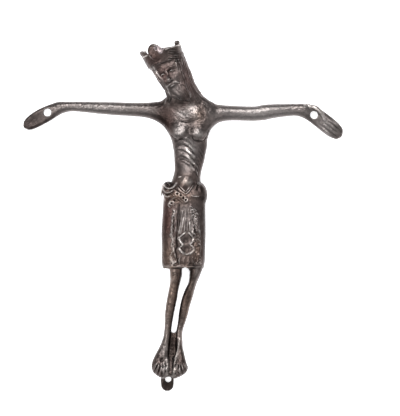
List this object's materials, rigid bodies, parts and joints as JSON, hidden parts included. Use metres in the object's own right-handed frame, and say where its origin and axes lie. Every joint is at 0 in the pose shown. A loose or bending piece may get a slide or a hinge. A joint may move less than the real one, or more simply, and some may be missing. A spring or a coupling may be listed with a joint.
{
  "type": "christ figure",
  "caption": "Small cast metal crucifix figure with outstretched arms, an open crown and a knee-length loincloth, pierced for three nails.",
  "frame": {"origin": "centre of the figure's length and span, on the plane of its flat back", "axes": "+Y up the figure from feet to crown, +X towards the viewer's right along the arms, +Z out of the front"},
  "size_m": [0.1601, 0.1749, 0.0173],
  "materials": {
    "bronze": "dark brown patina, rubbed bright on the raised parts"
  },
  "bodies": {
    "root": {"crucifix_figure": "bronze"}
  },
  "joints": []
}
